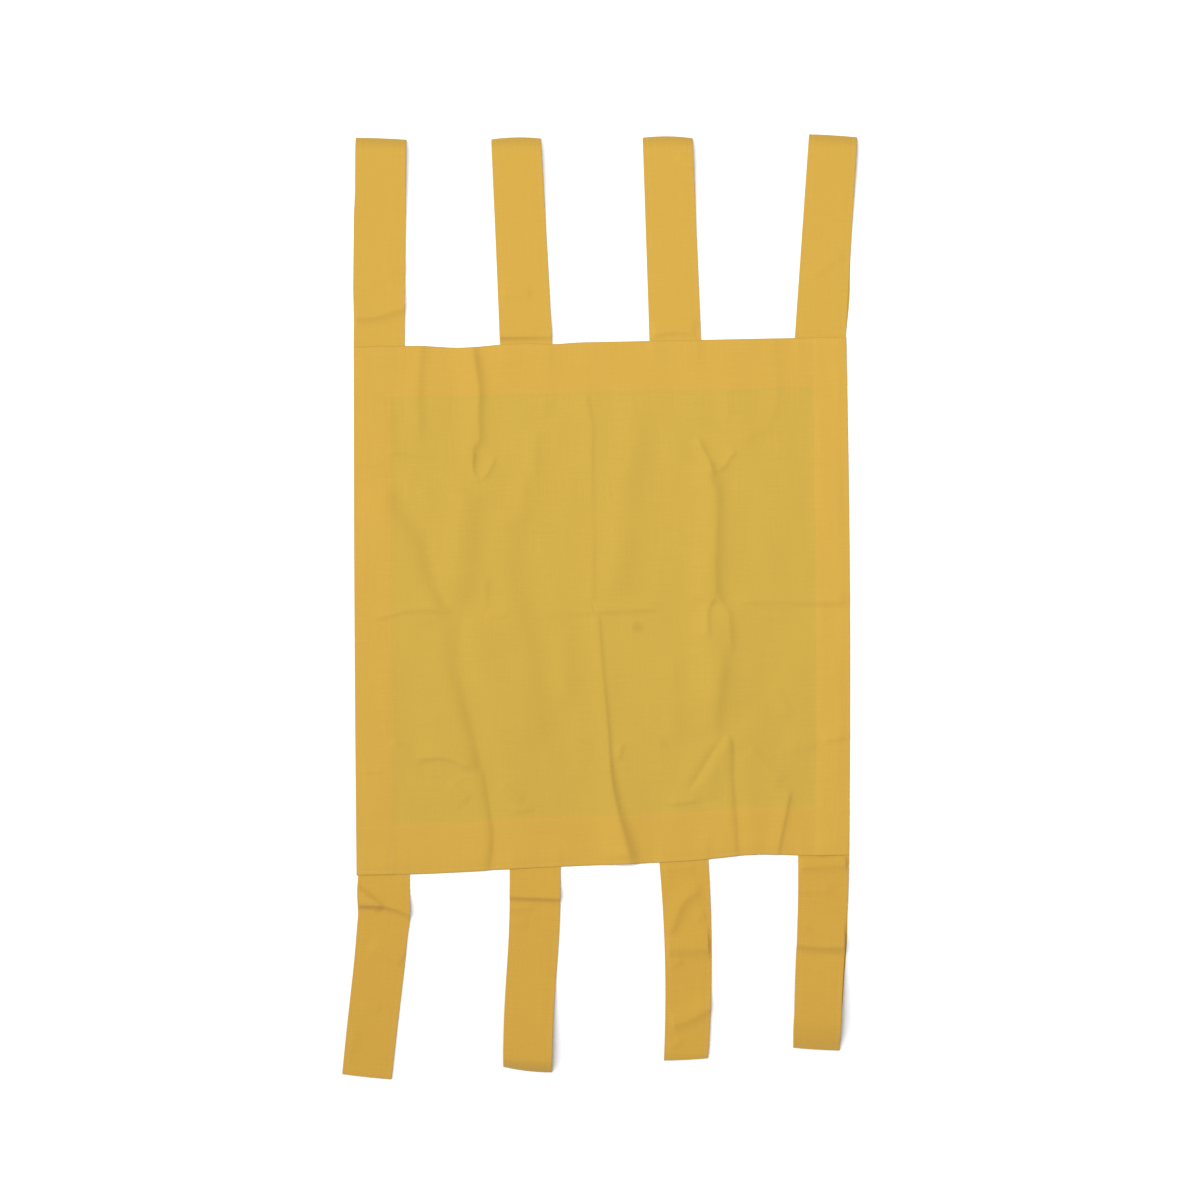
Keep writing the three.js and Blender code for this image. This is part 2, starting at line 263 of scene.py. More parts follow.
def crease_height(made_crease, x, y):
    """The height that one crease adds at flat points x and y."""
    path = rounded_path(made_crease["run"]) * MM
    hollow = np.min(made_crease["height"]) < 0
    widest = max(np.max(made_crease["left"]), np.max(made_crease["right"])) * MM
    reach = (5.7 if hollow else 2.4) * widest
    low, high = path.min(0) - reach, path.max(0) + reach
    near = (x > low[0]) & (x < high[0]) & (y > low[1]) & (y < high[1])
    made = np.zeros_like(x)
    if not near.any():
        return made
    px, py = x[near], y[near]
    lengths = np.linalg.norm(np.diff(path, axis=0), axis=1)
    run = np.concatenate([[0], np.cumsum(lengths)])
    distance, side, at = np.full(px.shape, 1e9), np.zeros(px.shape), np.zeros(px.shape)
    for i, (a, b) in enumerate(zip(path[:-1], path[1:])):
        d = (b - a) / lengths[i]
        t = np.clip((px - a[0]) * d[0] + (py - a[1]) * d[1], 0, lengths[i])
        qx, qy = px - a[0] - t * d[0], py - a[1] - t * d[1]
        closer = np.hypot(qx, qy) < distance
        distance[closer] = np.hypot(qx, qy)[closer]
        side[closer] = np.sign(qx * d[1] - qy * d[0])[closer]
        at[closer] = (run[i] + t)[closer]
    height, left, right = (spaced(made_crease[key], at / run[-1]) for key in ("height", "left", "right"))
    away = side * distance
    away = away - 0.6 * left if hollow else away + 0.6 * right
    width = np.where(away < 0, left, right)
    roundness = 1.5 + 0.5 * smooth(width, 4 * MM, 12 * MM)
    profile = np.exp(-((np.abs(away) / width) ** roundness))
    if hollow:
        shoulder = 2.2 * np.maximum(left, right)
        profile = np.exp(-((away / shoulder) ** 2)) - profile
    fade_in, fade_out = made_crease["fade"]
    if fade_in:
        profile *= smooth(at, 0, fade_in * MM)
    if fade_out:
        profile *= smooth(run[-1] - at, 0, fade_out * MM)
    made[near] = np.abs(height) * profile
    return made


# Low waves of cloth that isn't ironed: radians per metre across and up, phase, and height in
# millimetres, about a mean height
WAVES = [
    (31, 11, 0.4, 0.16),
    (-17, 37, 2.1, 0.14),
    (83, 21, 5.0, 0.16),
    (124, -19, 0.7, 0.16),
    (171, 33, 3.3, 0.10),
    (-139, 71, 1.9, 0.08),
]
MEAN_WAVE = 0.7


def undulation(x, y):
    made = sum(height * np.sin(a * x + b * y + phase) for a, b, phase, height in WAVES)
    return (made + MEAN_WAVE) * MM


def above_zero(height, softness=0.15 * MM):
    return 0.5 * (height + np.sqrt(height**2 + softness**2))


def lift_off(x, y):
    """How far the cloth lies above the plies or the floor under it, from creases and waves. The
    doubled cloth at the edges lies flatter."""
    at_side = smooth(HALF_WIDTH - np.abs(x), 0, 12 * MM)
    at_end = smooth(HALF_HEIGHT - np.abs(y), 0, 12 * MM)
    waves = undulation(x, y) * (0.2 + 0.8 * at_end)
    creases = sum(crease_height(one, x, y) for one in PANEL_CREASES) * (0.7 + 0.3 * at_end)
    return above_zero((waves + creases) * (0.25 + 0.75 * at_side))


# ---------------------------------------------------------------- loops
def loop_plan(name, **shape):
    """What a loop needs: its seam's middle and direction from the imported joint, its reach from its
    packed box, and its shape."""
    joint = next(j for j in frame["joints"] if j["child"] == name)
    side = 1 if name.startswith("top") else -1
    root = np.array(joint["pos_m"][:2])
    seam = np.array(joint["axis"][:2])
    plan = dict(drift=0, sway=0, swing=0, kink=0, back_shift=0, back_span=(0, 1), root_width=51,
                end_width=50, skew=0, arch=0.4, mouth=5, nose=12, bulge=2, taper=95, creases=[])
    plan.update(shape)
    low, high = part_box(name)
    length = (high.y - root[1]) if side > 0 else (root[1] - low.y)
    end_slope = (plan["drift"] - 4 * plan["sway"]) * MM / length
    reach = length - abs(end_slope) * LOOP_WIDTH / 2
    plan.update(name=name, side=side, root=root, seam=seam, reach=reach)
    return plan


# drift, sway, swing and kink bend a loop's line sideways. Its upper leg narrows from root_width to
# end_width. At its end, skew makes the right side longer and arch draws the corners back. mouth is
# how far the loop stands open, nose how far from the end it stands highest, bulge how round it is in
# between, and taper how long it takes to close. back_shift moves the lower leg sideways over
# back_span, in shares of the loop's length. Lengths are in millimetres. Places on a loop's creases
# are from the middle of its seam, across and up.
LOOPS = [
    loop_plan("top_loop_1", drift=2, back_shift=-1.2, back_span=(0.2, 0.75), end_width=50.6,
              skew=-0.75, creases=[
        crease(3.3, 13, 5.5, (3, 0), (-26, 25), (-4, 27), (10, 31), (26, 36)),
        crease(1.3, 9, 5, (7, 0), (2, 73), (26, 73)),
        crease(0.9, 6, 3, (6, 0), (6, 60), (26, 54)),
    ]),
    loop_plan("top_loop_2", drift=-10.1, root_width=52.4, end_width=49.6, skew=-0.75, arch=1.6, creases=[
        crease((3.6, 3.2, 2.2), 15, 3, (0, 0), (-26, 5.8), (26, 4.8)),
        crease(1.1, 10, 5, (5, 8), (-24, 47), (10, 45)),
    ]),
    loop_plan("top_loop_3", drift=-7.7, root_width=51.6, end_width=49.8, skew=-1.2, arch=1.6, creases=[
        crease(1.6, 13, 3, (6, 9), (-24, 4), (0, 7), (12, 6.4), (23, 4.5)),
        crease(1.0, 8, 4.5, (7, 7), (5, 184), (25, 168)),
    ]),
    loop_plan("top_loop_4", drift=12.7, end_width=48, back_shift=1.4, back_span=(0.1, 0.35), creases=[
        crease(0.8, 8, 5, (9, 9), (-14, 55), (21, 83)),
    ]),
    loop_plan("bottom_loop_1", drift=-17, sway=2.7, swing=0.9, kink=1.7, root_width=51.6,
              end_width=49.5, mouth=0.8, nose=3, back_shift=-1.4, back_span=(0.04, 0.3), creases=[
        crease(4.4, 12, 3.4, (0, 0), (-27, -31), (-10, -32), (2, -34), (27, -41)),
        crease(2.4, 9, 2.9, (7, 0), (1, -33), (-26, -11)),
        crease(1.2, 12, 7, (10, 6), (-16, -77), (24, -89)),
        crease(0.7, 8, 5, (6, 8), (-16, -138), (10, -137)),
        crease(0.9, 9, 6, (9, 9), (-18, -194), (-12, -151)),
    ]),
    loop_plan("bottom_loop_2", drift=-7.4, sway=0.3, swing=1.1, end_width=48.6, skew=2.6, arch=1.4,
              mouth=9.5, nose=14, creases=[
        crease(4.2, 11, 3.2, (0, 0), (-27, -30.5), (27, -31.5)),
        crease(1.0, 7, 2.6, (0, 9), (-27, -43.5), (2, -41.5)),
        crease(0.9, 7, 4, (0, 9), (-27, -60), (-4, -60)),
    ]),
    loop_plan("bottom_loop_3", drift=2, sway=3.4, root_width=49, end_width=44, skew=-2.4, mouth=2,
              nose=8, creases=[
        crease(0.9, 8, 5, (6, 9), (-24, -9), (14, -9)),
        crease(2.2, 10, 5.6, (8, 14), (-18, -76), (-12, -63), (-8, -54), (-1, -42), (8, -36), (21, -33)),
        crease(0.9, 6, 4, (5, 5), (8, -61), (22, -55)),
        crease(3.4, 14, 8, (4, 2), (-24, -91), (-2, -91), (24, -90)),
        crease(0.9, 6, 4, (5, 5), (-21, -108), (-4, -100)),
        crease(2.5, 12, 5.6, (6, 0), (-20, -167), (4, -160), (24, -149)),
        crease(0.8, 5, 4, (4, 6), (-21, -189), (-2, -179)),
    ]),
    loop_plan("bottom_loop_4", drift=-7.3, sway=0.3, swing=0.8, end_width=46.2, skew=1.0,
              mouth=11.5, nose=29, bulge=1.7, back_shift=1.5, back_span=(0.35, 0.87), creases=[
        crease(2.1, 10, 5, (5, 2), (-26, -13), (24, -12)),
        crease(0.9, 7, 4, (1, 9), (-26, -38), (12, -37)),
        crease(0.8, 6, 4, (0, 6), (-26, -76), (-10, -75)),
        crease(5.6, 15, 6, (0, 1), (-27, -92), (0, -93), (26, -91.5)),
    ]),
]


def tail_cover(x, y):
    """1 over a loop's ends inside the seam, falling away deeper in, at flat points x and y."""
    made = np.zeros_like(x)
    for loop in LOOPS:
        middle = loop["root"][0] - CENTRE_X - TOP_LEAN * loop["side"]
        inside = smooth(LOOP_WIDTH / 2 + 5 * MM - np.abs(x - middle), 0, 10 * MM)
        depth = HALF_HEIGHT - y * loop["side"]
        inside *= 1 - smooth(depth, 0.6 * TAIL_DEPTH, 3 * TAIL_DEPTH)
        made = np.maximum(made, inside)
    return made


def facing_cover(y):
    """How many of the facing's plies lie under a flat point: two where its raw edge is turned."""
    inside = np.abs(y) - (HALF_HEIGHT - FACING_DEPTH)
    return smooth(inside, -DRAPE, DRAPE) * (2 - smooth(inside, TURN - DRAPE, TURN + 3 * DRAPE))


def seam_height(x, y):
    """The height of what the panel's hems and face rest on."""
    return FLOOR_GAP + PLY * facing_cover(y) + 2 * TAIL_PLY * tail_cover(x, y)


def hem_cover(x):
    """How many of the side hems' plies lie under the panel's face."""
    made = np.zeros_like(x)
    for edge, sign in ((-HALF_WIDTH + LEFT_HEM, -1), (HALF_WIDTH - RIGHT_HEM, 1)):
        inside = (x - edge) * sign
        made += smooth(inside, -DRAPE, DRAPE) * (2 - smooth(inside, TURN - DRAPE, TURN + 3 * DRAPE))
    return made


def pinch(x, y):
    """How far rows of stitches draw the face down."""
    beside, across = 1.1 * MM, 1.2 * MM  # how wide the cloth is drawn down along each kind of row
    rows = bump(np.abs(x), HALF_WIDTH - EDGE_ROW, beside)
    rows += bump(x, -HALF_WIDTH + LEFT_HEM - HEM_ROW, beside)
    rows += bump(x, HALF_WIDTH - RIGHT_HEM + HEM_ROW, beside)
    rows += bump(np.abs(y), HALF_HEIGHT - SEAM_ROW, across)
    rows += bump(np.abs(y), HALF_HEIGHT - FACING_DEPTH + HEM_ROW, across)
    return PINCH_DEPTH * np.minimum(rows, 1)


def face_height(x, y):
    """The middle of the panel's top ply, which is pressed down a little at the seams."""
    made = seam_height(x, y) + PLY * hem_cover(x) + PLY / 2 + lift_off(x, y) - pinch(x, y)
    rim = HALF_HEIGHT - np.abs(y)
    return made - 0.1 * MM * (1 - smooth(rim, 0, 2 * MM))


# ---------------------------------------------------------------- mesh making
def add_object(name, mesh, material):
    obj = bpy.data.objects.new(name, mesh)
    bpy.context.scene.collection.objects.link(obj)
    mesh.materials.append(material)
    return obj


def mesh_from_quads(name, points, quads, flat):
    """A smooth mesh with its flat coordinates kept as a UV map."""
    mesh = bpy.data.meshes.new(name)
    mesh.vertices.add(len(points))
    mesh.vertices.foreach_set("co", points.astype(np.float32).ravel())
    mesh.loops.add(quads.size)
    mesh.loops.foreach_set("vertex_index", quads.astype(np.int32).ravel())
    mesh.polygons.add(len(quads))
    mesh.polygons.foreach_set("loop_start", np.arange(0, quads.size, 4, dtype=np.int32))
    mesh.update(calc_edges=True)
    layer = mesh.uv_layers.new(name="flat")
    layer.data.foreach_set("uv", flat[quads.ravel()].astype(np.float32).ravel())
    mesh.validate()
    mesh.shade_smooth()
    return mesh


def grid_quads(rows, columns, start=0, flip=False):
    index = start + np.arange(rows * columns).reshape(rows, columns)
    a, b, c, d = index[:-1, :-1], index[:-1, 1:], index[1:, 1:], index[1:, :-1]
    quads = np.stack([a, b, c, d], -1).reshape(-1, 4)
    return quads[:, ::-1] if flip else quads


def unit_normals(middle):
    along = np.gradient(middle, axis=0)
    across = np.gradient(middle, axis=1)
    normals = np.cross(across, along)
    return normals / np.linalg.norm(normals, axis=2, keepdims=True)


def closed_sheet(name, middle, flat, half_thickness, material):
    """A piece of cloth around a grid of points: a face on each side and an edge all round."""
    rows, columns = middle.shape[:2]
    offset = unit_normals(middle) * np.broadcast_to(half_thickness, (rows, columns))[..., None]
    points = np.concatenate([(middle + offset).reshape(-1, 3), (middle - offset).reshape(-1, 3)])
    count = rows * columns
    top = np.arange(count).reshape(rows, columns)
    rim = np.concatenate([top[0, :], top[1:, -1], top[-1, -2::-1], top[-2:0:-1, 0]])
    after = np.roll(rim, -1)
    quads = np.concatenate(
        [
            grid_quads(rows, columns),
            grid_quads(rows, columns, count, flip=True),
            np.stack([rim, rim + count, after + count, after], -1),
        ]
    )
    both = np.concatenate([flat.reshape(-1, 2)] * 2)
    return add_object(name, mesh_from_quads(name, points, quads, both), material)


def stations(start, end, step):
    count = max(2, int(round(abs(end - start) / step)) + 1)
    return np.linspace(start, end, count)


# ---------------------------------------------------------------- panel and facings
FOLD = PLY / 2  # radius of the fold between two plies that lie on each other


def round_fold(place, inwards, rising):
    """Three points round a fold, as place and height in plies. inwards is the way to its cloth."""
    near = place + inwards * 0.3 * FOLD
    heights = (0.15, 0.5, 0.85) if rising else (0.85, 0.5, 0.15)
    return list(zip((near, place, near), heights))


def hem_columns(side, depth):
    """The columns of one side's hem, from its raw edge out to the panel's side."""
    inner, outer = side * (HALF_WIDTH - depth), side * HALF_WIDTH
    turned = stations(inner + side * TURN, inner + side * FOLD, HEM_STEP)
    flat = stations(inner + side * FOLD, outer - side * FOLD, HEM_STEP)
    made = [(x, 1.0) for x in turned] + round_fold(inner, side, rising=False)
    return made + [(x, 0.0) for x in flat] + round_fold(outer, -side, rising=True)


def panel_columns():
    """The columns of the one sheet, from the left raw edge round both hems to the right one, as
    flat place and height in plies, which is None on the face, because it drapes. Then how many
    columns the left hem and the face have."""
    left, right = hem_columns(-1, LEFT_HEM), hem_columns(1, RIGHT_HEM)
    face = [(x, None) for x in stations(-HALF_WIDTH + FOLD, HALF_WIDTH - FOLD, ACROSS_STEP)]
    return left + face + right[::-1], len(left), len(face)


def make_panel(material):
    columns, first, count = panel_columns()
    across = np.array([c[0] for c in columns])
    on_face = np.array([c[1] is None for c in columns])
    plies = np.array([c[1] or 0.0 for c in columns])
    up = stations(-HALF_HEIGHT, HALF_HEIGHT, ALONG_STEP)
    x, y = np.meshgrid(across, up)
    below = seam_height(x, y) + PLY / 2 + plies * PLY + lift_off(x, y)
    z = np.where(on_face[None, :], face_height(x, y), below)
    laid_x, laid_y = lay(x, y)
    travelled = np.concatenate([[0], np.cumsum(np.abs(np.diff(across)))])
    along_cloth = across.copy()
    last = first + count - 1
    along_cloth[:first] = across[first] - (travelled[first] - travelled[:first])
    along_cloth[last:] = across[last] + (travelled[last:] - travelled[last])
    flat = np.stack(np.broadcast_arrays(along_cloth[None, :], y), -1)
    middle = np.stack([laid_x, laid_y, z], -1)
    return closed_sheet("panel", middle, flat, PLY_THICKNESS / 2, material)


def make_facing(name, side, material):
    """A strip behind one edge, with its inner raw edge turned in."""
    inner = HALF_HEIGHT - FACING_DEPTH
    rows = [(y, 0.0) for y in stations(HALF_HEIGHT - SEAM_CLEARANCE, inner + FOLD, ALONG_STEP)]
    rows += round_fold(inner, 1, rising=True)
    rows += [(y, 1.0) for y in stations(inner + FOLD, inner + TURN, ALONG_STEP)]
    if side > 0:
        rows = rows[::-1]
    depth = np.array([r[0] for r in rows])
    plies = np.array([r[1] for r in rows])
    half = HALF_WIDTH - FACING_SETBACK
    x, y = np.meshgrid(stations(-half, half, 2 * ACROSS_STEP), side * depth)
    z = FLOOR_GAP + PLY / 2 + plies[:, None] * PLY + lift_off(x, y)
    laid_x, laid_y = lay(x, y)
    travelled = np.concatenate([[0], np.cumsum(np.abs(np.diff(depth)))])
    flat = np.stack(np.broadcast_arrays(x, travelled[:, None]), -1)
    return closed_sheet(name, np.stack([laid_x, laid_y, z], -1), flat, PLY_THICKNESS / 2, material)


# ---------------------------------------------------------------- loop geometry
def loop_line(loop, s):
    """The middle of a loop's strip at distance s from the seam, and the direction across it."""
    share = np.clip(s / loop["reach"], 0, 1)
    step = 1e-4

    def sideways(t):
        made = loop["drift"] * t + 4 * loop["sway"] * t * (1 - t)
        made = made + loop["swing"] * np.sin(2 * np.pi * t) + loop["kink"] * bump(t, KINK_PLACE, KINK_WIDTH)
        return MM * (made - loop["kink"] * bump(0, KINK_PLACE, KINK_WIDTH) * (1 - t))

    slope = (sideways(share + step) - sideways(share)) / step / loop["reach"]
    middle = np.stack([loop["root"][0] + sideways(share), loop["root"][1] + loop["side"] * s], -1)
    square = np.stack([np.ones_like(slope), -slope * loop["side"]], -1)
    square /= np.linalg.norm(square, axis=-1, keepdims=True)
    seam = loop["seam"] * loop["side"]
    turned = smooth(s, 0, SQUARING)[..., None]
    return middle, seam * (1 - turned) + square * turned


def loop_crease(loop, s, beside):
    """The height that a loop's creases add to its upper leg, at distance s from the seam."""
    s, beside = (np.array(v, float) for v in np.broadcast_arrays(s, beside))
    made = np.zeros_like(s)
    for one in loop["creases"]:
        made += crease_height(one, beside, s * loop["side"])
    return above_zero(made, 0.05 * MM)


def loop_profile(loop):
    """The middle of a loop's strip, from the seam out along the lower leg, round the end and back
    along the upper leg: distance from the seam, height, which leg (0 lower, 1 upper), thickness."""
    low = FLOOR_GAP + LEG / 2
    tip = loop["reach"] - LEG / 2
    nose = loop["nose"] * MM
    highest = loop["mouth"] * MM + LEG
    lower_s = stations(-TAIL_DEPTH, tip - END_RADIUS, LOOP_STEP)
    upper_s = stations(tip - nose, -TAIL_DEPTH, LOOP_STEP)
    turn = np.linspace(-np.pi / 2, 0, 6)[1:]
    climb = np.linspace(0, 1, 12)[1:-1] ** 2
    opened = (1 + np.cos(np.pi * np.clip((tip - nose - upper_s) / (loop["taper"] * MM), 0, 1))) / 2
    gap = LEG + LEG_GAP - (LEG + LEG_GAP - TAIL_PLY) * in_seam(upper_s)
    lift = PLY + (TAIL_PLY - LEG) / 2
    lower_z = low + lift * in_seam(lower_s)
    turn_z = low + END_RADIUS * (1 + np.sin(turn))
    climb_z = low + END_RADIUS + (highest - END_RADIUS) * (1 - (1 - climb) ** loop["bulge"])
    upper_z = low + lift * in_seam(upper_s) + gap + (highest - gap) * opened
    s = np.concatenate([lower_s, tip - END_RADIUS * (1 - np.cos(turn)), tip - nose * climb, upper_s])
    z = np.concatenate([lower_z, turn_z, climb_z, upper_z])
    leg = np.concatenate([0 * lower_s, 0 * turn, np.sqrt(climb), 0 * upper_s + 1])
    thickness = 1 - (1 - (TAIL_PLY - 0.04 * MM) / LEG) * in_seam(s)
    return s, z, leg, thickness


def in_seam(s):
    """1 where a loop's strip is pressed in the seam and 0 further out."""
    return 1 - smooth(s, -2 * MM, 8 * MM)


def loop_surface(loop, across):
    """Points on the middle of a loop's strip, for places across it from -1 to 1, and how far each of
    their rows lies from the seam."""
    s, z, leg, _ = loop_profile(loop)
    s2, w = s[:, None], across[None, :]
    share = np.clip(s2 / loop["reach"], 0, 1)
    end_shape = (loop["skew"] * w - loop["arch"] * w**2) * MM * smooth(share, 0.8, 1)
    middle, direction = loop_line(loop, s)
    width = MM * (loop["root_width"] + (loop["end_width"] - loop["root_width"]) * share)
    first, last = loop["back_span"]
    shifted = smooth(share, first - 0.1, first + 0.1) * (1 - smooth(share, last - 0.15, last + 0.05))
    shift = loop["back_shift"] * MM * (1 - leg[:, None]) * shifted
    reach_out = direction[:, None, :] * (w * width / 2)[..., None]
    x = middle[:, None, 0] + reach_out[..., 0] + shift * smooth(s2, -2 * MM, 12 * MM)
    y = middle[:, None, 1] + reach_out[..., 1] + end_shape * loop["side"]
    creased = loop_crease(loop, s2, w * LOOP_WIDTH / 2) * smooth(s2, 0, 2 * MM)
    height = z[:, None] + creased * leg[:, None]
    return np.stack([x, y, height], -1), s


def loop_columns():
    """Places across a loop, closer together at its rounded edges and at its two rows of stitches."""
    half = LOOP_WIDTH / 2
    row = half - LOOP_ROW
    edge = [half - inset * MM for inset in (0, 0.12, 0.4, 1.2, 2.6)]
    near_row = [row + offset * MM for offset in (0.9, 0, -0.9)]
    inner = list(stations(row - 2.2 * MM, 0, 1.9 * MM))[:-1]
    right = edge + near_row + inner
    places = np.array([-x for x in right] + [0.0] + right[::-1])
    half_thickness = np.full(len(places), LEG / 2)
    from_edge = half - np.abs(places)
    half_thickness *= np.sqrt(1 - (1 - np.clip(from_edge / (0.4 * MM), 0.02, 1)) ** 2)
    half_thickness -= 0.1 * MM * bump(np.abs(places), row, 0.8 * MM)
    return places / half, half_thickness


def make_loop(loop, material):
    across, half_thickness = loop_columns()
    middle, s = loop_surface(loop, across)
    half_thickness = loop_profile(loop)[3][:, None] * half_thickness[None, :]
    steps = np.linalg.norm(np.diff(middle[:, len(across) // 2], axis=0), axis=1)
    travelled = np.concatenate([[0], np.cumsum(steps)])
    end = travelled[np.argmax(s)]
    flat = np.stack(np.broadcast_arrays(across[None, :] * LOOP_WIDTH / 2, travelled[:, None] - end), -1)
    if loop["side"] > 0:
        middle, flat, half_thickness = middle[:, ::-1], flat[:, ::-1], half_thickness[:, ::-1]
    return closed_sheet(loop["name"] + "_strip", middle, flat, half_thickness, material)


# ---------------------------------------------------------------- stitches
def stitch_mesh(name, path, normals, material):
    """A row of separate stitches along a path, each one a short arched thread that dives into the
    cloth at both ends."""
    lengths = np.linalg.norm(np.diff(path, axis=0), axis=1)
    run = np.concatenate([[0], np.cumsum(lengths)])
    count = int(run[-1] / STITCH_PITCH)
    starts = (np.arange(count) + 0.5) * run[-1] / count
    rings, sides = 5, 6
    along = np.linspace(-0.5, 0.5, rings) * STITCH_LENGTH
    at = starts[:, None] + along[None, :]
    place = np.stack([np.interp(at, run, path[:, k]) for k in range(3)], -1)
    normal = np.stack([np.interp(at, run, normals[:, k]) for k in range(3)], -1)
    normal /= np.linalg.norm(normal, axis=-1, keepdims=True)
    heading = np.gradient(place, axis=1)
    heading /= np.linalg.norm(heading, axis=-1, keepdims=True)
    beside = np.cross(heading, normal)
    arch = np.cos(np.linspace(-0.5, 0.5, rings) * np.pi) ** 0.5
    radius = STITCH_WIDTH / 2 * (0.35 + 0.65 * arch)
    rise = (arch - 0.75) * STITCH_ARCH
    turn = np.arange(sides) * 2 * np.pi / sides
    ring = (
        np.cos(turn)[None, None, :, None] * beside[:, :, None, :] * radius[None, :, None, None]
        + np.sin(turn)[None, None, :, None] * normal[:, :, None, :] * 0.7 * radius[None, :, None, None]
    )
    points = place[:, :, None, :] + rise[None, :, None, None] * normal[:, :, None, :] + ring
    index = np.arange(count * rings * sides).reshape(count, rings, sides)
    a, b = index[:, :-1, :], index[:, 1:, :]
    quads = np.stack([a, np.roll(a, -1, 2), np.roll(b, -1, 2), b], -1).reshape(-1, 4)
    first, last = index[:, 0, :], index[:, -1, :]
    caps = [first[:, [3, 2, 1, 0]], first[:, [5, 4, 3, 0]], last[:, [0, 1, 2, 3]], last[:, [0, 3, 4, 5]]]
    quads = np.concatenate([quads, *caps])
    flat = np.stack(
        [
            np.broadcast_to(turn[None, None, :] * 0.1 * MM, index.shape).ravel(),
            np.broadcast_to(at[:, :, None], index.shape).ravel(),
        ],
        -1,
    )
    return add_object(name, mesh_from_quads(name, points.reshape(-1, 3), quads, flat), material)


def face_row(name, start, end, material):
    """Stitches on the panel's face, between two flat points."""
    t = np.linspace(0, 1, 400)
    x, y = start[0] + (end[0] - start[0]) * t, start[1] + (end[1] - start[1]) * t
    laid_x, laid_y = lay(x, y)
    z = face_height(x, y) + PLY_THICKNESS / 2
    small = 0.5 * MM
    slope_x = (face_height(x + small, y) - face_height(x - small, y)) / (2 * small)
    slope_y = (face_height(x, y + small) - face_height(x, y - small)) / (2 * small)
    normals = np.stack([-slope_x, -slope_y, np.ones_like(x)], -1)
    return stitch_mesh(name, np.stack([laid_x, laid_y, z], -1), normals, material)


def loop_row(name, loop, place, material):
    """Stitches along the whole outside of a loop's strip, round its end."""
    step = 0.5 * MM / (LOOP_WIDTH / 2)
    middle, s = loop_surface(loop, np.array([place - step, place, place + step]))
    normals = unit_normals(middle)[:, 1] * -loop["side"]
    path = middle[:, 1] + normals * (LEG / 2 - 0.1 * MM)
    shown = s > 0.5 * MM
    return stitch_mesh(name, path[shown], normals[shown], material)


# ---------------------------------------------------------------- materials
class Graph:
    """Short names for the nodes that the materials use."""

    def __init__(self, name):
        self.material = bpy.data.materials.new(name)
        self.material.use_nodes = True
        self.tree = self.material.node_tree
        self.shader = self.tree.nodes["Principled BSDF"]

    def node(self, kind, **inputs):
        made = self.tree.nodes.new(kind)
        for key, value in inputs.items():
            self.feed(made.inputs[key.replace("_", " ")], value)
        return made

    def feed(self, socket, value):
        if isinstance(value, bpy.types.NodeSocket):
            self.tree.links.new(value, socket)
        else:
            socket.default_value = value

    def math(self, operation, a, b=0.0, c=0.0):
        made = self.tree.nodes.new("ShaderNodeMath")
        made.operation = operation
        for socket, value in zip(made.inputs, (a, b, c)):
            self.feed(socket, value)
        return made.outputs[0]

    def ramp(self, value, start, end, low=0.0, high=1.0):
        made = self.tree.nodes.new("ShaderNodeMapRange")
        made.interpolation_type = "SMOOTHSTEP"
        for socket, given in zip(made.inputs, (value, start, end, low, high)):
            self.feed(socket, given)
        return made.outputs[0]

    def noise(self, vector, scale, detail=2.0):
        made = self.node("ShaderNodeTexNoise", Vector=vector, Scale=scale, Detail=detail)
        return made.outputs["Fac"]

    def distance(self, vector, place):
        made = self.tree.nodes.new("ShaderNodeVectorMath")
        made.operation = "DISTANCE"
        self.feed(made.inputs[0], vector)
        self.feed(made.inputs[1], place)
        return made.outputs["Value"]

    def vector(self, x, y, z=0.0):
        return self.node("ShaderNodeCombineXYZ", X=x, Y=y, Z=z).outputs[0]

    def mix(self, factor, a, b):
        made = self.tree.nodes.new("ShaderNodeMix")
        made.data_type = "VECTOR"
        self.feed(made.inputs[0], factor)
        self.feed(made.inputs[4], a)
        self.feed(made.inputs[5], b)
        return made.outputs[1]

    def scaled(self, colour, factor):
        made = self.tree.nodes.new("ShaderNodeVectorMath")
        made.operation = "SCALE"
        self.feed(made.inputs[0], colour)
        self.feed(made.inputs["Scale"], factor)
        return made.outputs[0]


THREAD_PITCH = 0.55 * MM  # of the weave
RIGHT_HEM_TONE = 1.028  # the right hem's cloth is a shade paler than the left one's


def weave(graph, u, v):
    """The height of a plain weave with uneven yarns, and the lightness that goes with it."""
    over = graph.math("SINE", graph.math("MULTIPLY", u, math.pi / THREAD_PITCH))
    under = graph.math("SINE", graph.math("MULTIPLY", v, math.pi / THREAD_PITCH))
    checks = graph.math("MULTIPLY", over, under)
    warp = graph.noise(
        graph.vector(graph.math("MULTIPLY", u, 1100.0), graph.math("MULTIPLY", v, 22.0)), 1.0
    )
    weft = graph.noise(
        graph.vector(graph.math("MULTIPLY", u, 26.0), graph.math("MULTIPLY", v, 1100.0), 7.0), 1.0
    )
    slubs = graph.math("ADD", warp, weft)
    height = graph.math("ADD", graph.math("MULTIPLY", checks, 0.5), slubs)
    return height, slubs


